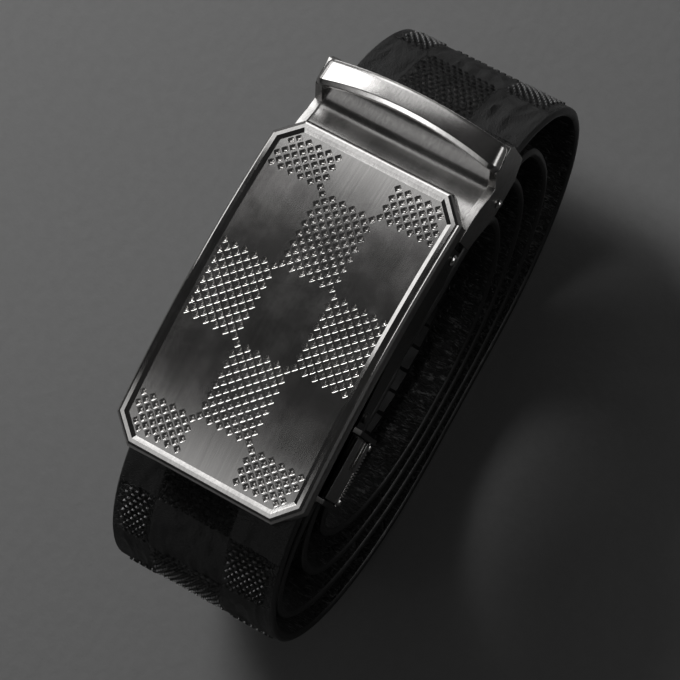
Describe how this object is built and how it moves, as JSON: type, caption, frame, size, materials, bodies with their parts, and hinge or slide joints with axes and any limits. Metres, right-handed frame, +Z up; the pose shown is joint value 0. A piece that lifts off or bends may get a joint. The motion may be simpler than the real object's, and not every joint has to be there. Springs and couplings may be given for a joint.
{
  "type": "ratchet belt",
  "caption": "Rolled leather ratchet belt with an eight-sided metal plate buckle, a hinged tail clip under an arched bar, and a side release lever.",
  "frame": {"origin": "on the floor under the middle of the rolled belt", "axes": "+X along the buckle towards its tail clip, +Y across the strap away from the release lever, +Z up through the face plate"},
  "size_m": [0.1144, 0.0404, 0.0684],
  "materials": {
    "strap_leather": "black, with a woven and crinkled checker outside and rough suede inside",
    "track_plastic": "black, moulded",
    "plate_metal": "gunmetal, brushed field, polished rim, pitted checker",
    "housing_metal": "dark gunmetal, satin",
    "clip_metal": "gunmetal, polished",
    "pin_steel": "bright steel"
  },
  "bodies": {
    "root": {"strap": "strap_leather", "ratchet_track": "track_plastic", "face_plate": "plate_metal", "buckle_housing": "housing_metal", "tail_clip": "clip_metal", "hinge_pin": "pin_steel", "clamp_jaw": "pin_steel", "jaw_pin": "pin_steel", "lever_pin": "pin_steel", "lever_spring": "pin_steel"},
    "lever": {"release_lever": "clip_metal"}
  },
  "joints": [
    {"name": "release_lever_hinge", "type": "hinge", "parent": "root", "child": "lever", "pos_m": [-0.0238, -0.01925, 0.0474], "axis": [1, 0, 0], "range_deg": [-8, 0], "stiffness_Nm_per_rad": 0.02, "springref_deg": 5.73}
  ]
}
